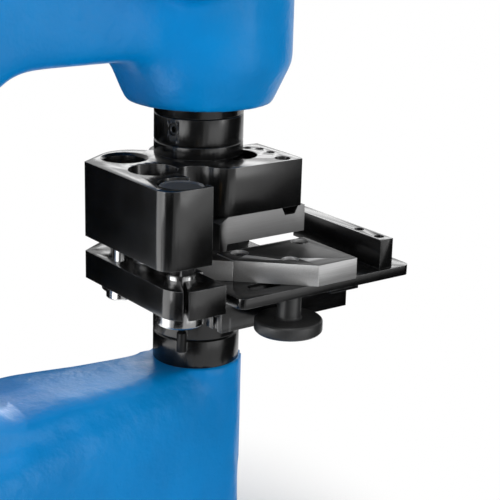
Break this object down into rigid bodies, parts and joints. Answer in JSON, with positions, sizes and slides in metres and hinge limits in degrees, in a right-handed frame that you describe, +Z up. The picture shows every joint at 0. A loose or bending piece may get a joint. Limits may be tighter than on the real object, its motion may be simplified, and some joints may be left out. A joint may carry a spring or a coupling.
{
  "type": "corner notcher",
  "caption": "Bench lever press with a corner notching tool in its throat: guided punch block over two L-set knives and a sliding stop.",
  "frame": {"origin": "on the bench plane under the axis of the ram", "axes": "+Z up along the ram, +X towards the open side of the throat and the operator, +Y towards the lever"},
  "size_m": [0.3407, 0.1656, 0.6513],
  "materials": {
    "blue_paint": "gloss",
    "black_steel": "satin",
    "bright_steel": "ground",
    "polished_steel": "polished",
    "dark_knife": "ground, darkened",
    "bronze": "machined",
    "dark_knurl": "matte",
    "black_plastic": "matte",
    "spring_steel": "oiled"
  },
  "bodies": {
    "press": {"frame_casting": "blue_paint", "lower_insert": "black_steel", "locating_pin": "polished_steel", "insert_set_screw": "black_steel", "tool_spigot": "black_steel", "spigot_screws": "black_steel", "die_plate": "black_steel", "front_knife": "dark_knife", "side_knife": "dark_knife", "knife_screws": "black_steel", "front_pillar": "polished_steel", "rear_pillar": "polished_steel", "support_bar": "black_steel", "bar_screws": "black_steel", "shaft_bushes": "bronze", "key_screw": "black_steel", "return_spring": "spring_steel"},
    "ram_and_punch": {"ram": "black_steel", "ram_socket": "black_steel", "socket_set_screw": "black_steel", "tool_shank": "black_steel", "punch_holder": "black_steel", "front_blade": "bright_steel", "side_blade": "bright_steel", "blade_screw": "black_steel", "holder_screw": "black_steel", "dowel_pins": "polished_steel", "guide_bushes": "bronze", "bore_cap": "black_steel", "spring_plug": "black_steel", "shoulder_bolt": "polished_steel", "stop_collar": "black_steel", "stop_collar_screw": "black_steel"},
    "lever": {"pinion_shaft": "polished_steel", "lever_hub": "black_steel", "lever_bar": "polished_steel", "lever_grip": "black_plastic", "shaft_collar": "black_steel"},
    "rail": {"stop_rail": "black_steel", "stop_fence": "dark_knife", "fence_screws": "black_steel"},
    "washer": {"clamp_washer": "bright_steel"},
    "clamp_screw": {"clamp_knob": "dark_knurl", "clamp_stud": "bright_steel"}
  },
  "joints": [
    {"name": "lever_swing", "type": "hinge", "parent": "press", "child": "lever", "pos_m": [-0.0297, 0, 0.35], "axis": [0, 1, 0], "range_deg": [0, 24.8]},
    {"name": "ram_slide", "type": "slide", "parent": "press", "child": "ram_and_punch", "axis": [0, 0, -1], "range_m": [0, 0.0065], "stiffness_N_per_m": 20000, "springref_m": -0.012, "deforming": ["return_spring"]},
    {"name": "rail_slide", "type": "slide", "parent": "press", "child": "rail", "axis": [1, 0, 0], "range_m": [-0.004, 0.02]},
    {"name": "washer_slide", "type": "slide", "parent": "press", "child": "washer", "axis": [0, 0, 1], "range_m": [-0.00125, 0]},
    {"name": "clamp_turn", "type": "hinge", "parent": "washer", "child": "clamp_screw", "pos_m": [0.009, -0.0665, 0.17], "axis": [0, 0, 1], "range_deg": [-360, 0]}
  ],
  "couplings": [
    {"joint": "ram_slide", "follows": "lever_swing", "m_per_rad": 0.015},
    {"joint": "washer_slide", "follows": "clamp_turn", "m_per_rad": 0.00019894}
  ]
}
